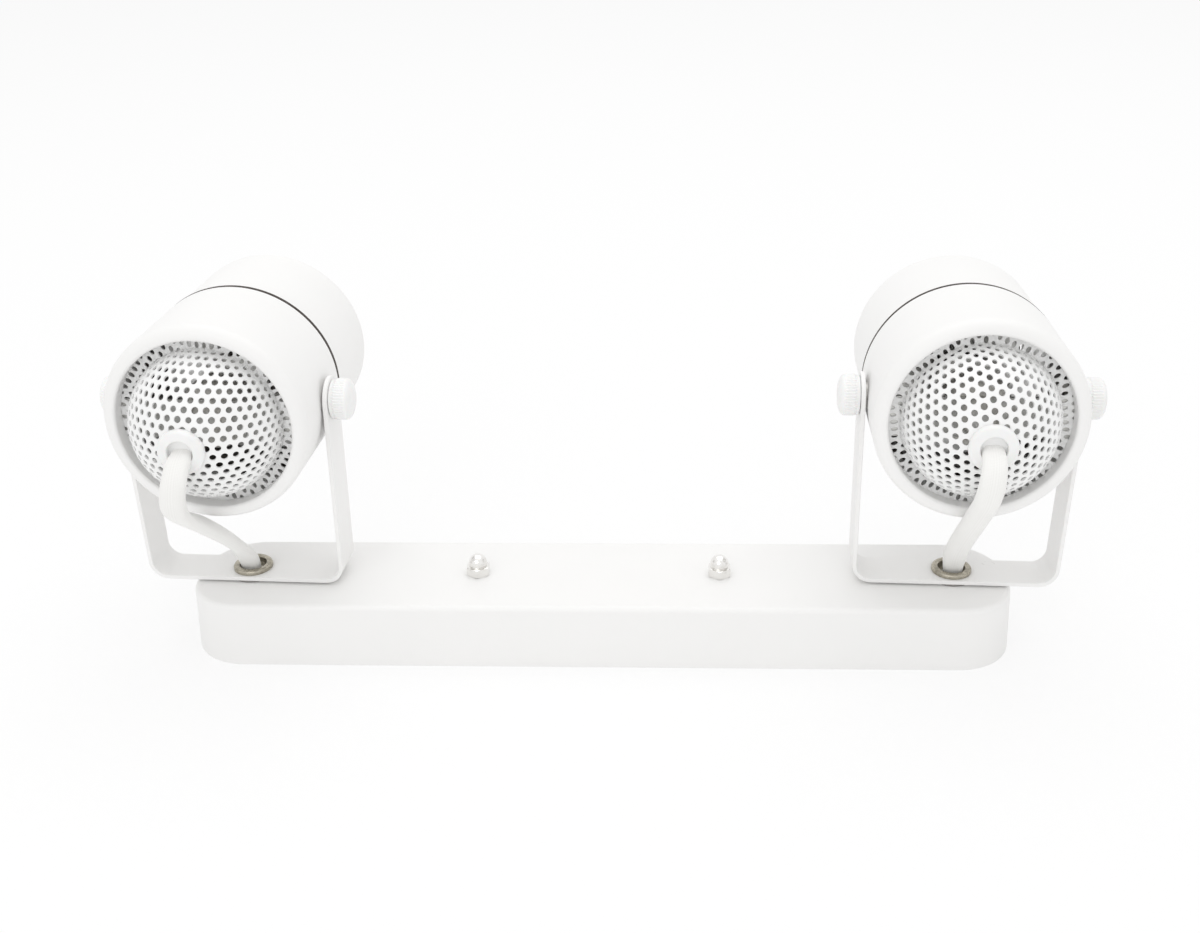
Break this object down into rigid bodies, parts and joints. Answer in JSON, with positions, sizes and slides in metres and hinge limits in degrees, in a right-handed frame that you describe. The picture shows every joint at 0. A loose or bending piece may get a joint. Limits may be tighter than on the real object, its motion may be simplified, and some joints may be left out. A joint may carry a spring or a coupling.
{
  "type": "pivoting spotlight wall light",
  "caption": "Slim white canopy box carrying round spot heads on swivelling yokes, each with a perforated rear dome, thumb screws and a sleeved lead to a hollow swivel bush.",
  "frame": {"origin": "middle of the crossbar's two junction-box slots, in the plane of the wall", "axes": "+X along the canopy, +Z away from the wall, +Y the way the heads aim at rest"},
  "size_m": [0.3482, 0.1181, 0.1308],
  "materials": {
    "canopy_enamel": "satin white enamel",
    "yoke_enamel": "satin white enamel",
    "head_enamel": "satin white enamel",
    "dome_enamel": "satin white enamel on punched sheet",
    "zinc_steel": "zinc plate",
    "stud_steel": "zinc plate",
    "nut_steel": "zinc plate",
    "cap_chrome": "bright nickel plate",
    "ground_green": "green dye over zinc",
    "bush_nickel": "dull nickel plate",
    "washer_steel": "plain steel",
    "connector_plastic": "moulded nylon",
    "ring_steel": "dark bare steel",
    "collar_plastic": "moulded white plastic",
    "holder_ceramic": "glazed ceramic",
    "insert_brass": "turned brass",
    "lead_sleeving": "woven white sleeving",
    "lamp_housing": "moulded lamp body",
    "lens_glass": "clear lens",
    "pin_brass": "turned pins",
    "knob_plastic": "moulded white plastic",
    "screw_steel": "zinc plate"
  },
  "bodies": {
    "root": {"canopy": "canopy_enamel", "crossbar": "zinc_steel", "studs": "stud_steel", "stud_nuts": "nut_steel", "cap_nuts": "cap_chrome", "ground_screw": "ground_green", "swivel_bush_left": "bush_nickel", "yoke_washer_left": "washer_steel", "friction_washer_left": "washer_steel", "bush_nut_left": "zinc_steel", "lead_connector_left": "connector_plastic", "swivel_bush_right": "bush_nickel", "yoke_washer_right": "washer_steel", "friction_washer_right": "washer_steel", "bush_nut_right": "zinc_steel", "lead_connector_right": "connector_plastic"},
    "yoke_left": {"yoke_left": "yoke_enamel", "lead_left": "lead_sleeving"},
    "head_left": {"barrel_left": "head_enamel", "dome_left": "dome_enamel", "cord_collar_left": "collar_plastic", "lampholder_left": "holder_ceramic", "holder_bracket_left": "zinc_steel", "pivot_inserts_left": "insert_brass", "joint_ring_left": "ring_steel"},
    "sleeve_left": {"front_sleeve_left": "head_enamel"},
    "lamp_left": {"lamp_left": "lamp_housing", "lamp_lens_left": "lens_glass", "lamp_pins_left": "pin_brass"},
    "thumb_screw_left_outer": {"knob_left_outer": "knob_plastic", "thumb_screw_left_outer": "screw_steel"},
    "thumb_screw_left_inner": {"knob_left_inner": "knob_plastic", "thumb_screw_left_inner": "screw_steel"},
    "yoke_right": {"yoke_right": "yoke_enamel", "lead_right": "lead_sleeving"},
    "head_right": {"barrel_right": "head_enamel", "dome_right": "dome_enamel", "cord_collar_right": "collar_plastic", "lampholder_right": "holder_ceramic", "holder_bracket_right": "zinc_steel", "pivot_inserts_right": "insert_brass", "joint_ring_right": "ring_steel"},
    "sleeve_right": {"front_sleeve_right": "head_enamel"},
    "lamp_right": {"lamp_right": "lamp_housing", "lamp_lens_right": "lens_glass", "lamp_pins_right": "pin_brass"},
    "thumb_screw_right_outer": {"knob_right_outer": "knob_plastic", "thumb_screw_right_outer": "screw_steel"},
    "thumb_screw_right_inner": {"knob_right_inner": "knob_plastic", "thumb_screw_right_inner": "screw_steel"}
  },
  "joints": [
    {"name": "swivel_left", "type": "hinge", "parent": "root", "child": "yoke_left", "pos_m": [-0.1285, 0, 0.0248], "axis": [0, 0, 1], "range_deg": [-175, 175]},
    {"name": "tilt_left", "type": "hinge", "parent": "yoke_left", "child": "head_left", "pos_m": [-0.1285, 0, 0.0948], "axis": [0.999, -0.0436, 0], "range_deg": [-10, 90], "deforming": ["lead_left"]},
    {"name": "sleeve_slide_left", "type": "slide", "parent": "head_left", "child": "sleeve_left", "axis": [0.0436, 0.999, -0.007], "range_m": [0, 0.05]},
    {"name": "lamp_slide_left", "type": "slide", "parent": "head_left", "child": "lamp_left", "axis": [0.0436, 0.999, -0.007], "range_m": [0, 0.065]},
    {"name": "thumb_screw_left_outer_turn", "type": "hinge", "parent": "head_left", "child": "thumb_screw_left_outer", "pos_m": [-0.1285, 0, 0.0948], "axis": [0.999, -0.0436, 0], "continuous": true},
    {"name": "thumb_screw_left_inner_turn", "type": "hinge", "parent": "head_left", "child": "thumb_screw_left_inner", "pos_m": [-0.1285, 0, 0.0948], "axis": [0.999, -0.0436, 0], "continuous": true},
    {"name": "swivel_right", "type": "hinge", "parent": "root", "child": "yoke_right", "pos_m": [0.1285, 0, 0.0248], "axis": [0, 0, 1], "range_deg": [-175, 175]},
    {"name": "tilt_right", "type": "hinge", "parent": "yoke_right", "child": "head_right", "pos_m": [0.1285, 0, 0.0948], "axis": [0.999, -0.0436, 0], "range_deg": [-10, 90], "deforming": ["lead_right"]},
    {"name": "sleeve_slide_right", "type": "slide", "parent": "head_right", "child": "sleeve_right", "axis": [0.0436, 0.9982, -0.0419], "range_m": [0, 0.05]},
    {"name": "lamp_slide_right", "type": "slide", "parent": "head_right", "child": "lamp_right", "axis": [0.0436, 0.9982, -0.0419], "range_m": [0, 0.065]},
    {"name": "thumb_screw_right_outer_turn", "type": "hinge", "parent": "head_right", "child": "thumb_screw_right_outer", "pos_m": [0.1285, 0, 0.0948], "axis": [0.999, -0.0436, 0], "continuous": true},
    {"name": "thumb_screw_right_inner_turn", "type": "hinge", "parent": "head_right", "child": "thumb_screw_right_inner", "pos_m": [0.1285, 0, 0.0948], "axis": [0.999, -0.0436, 0], "continuous": true}
  ]
}
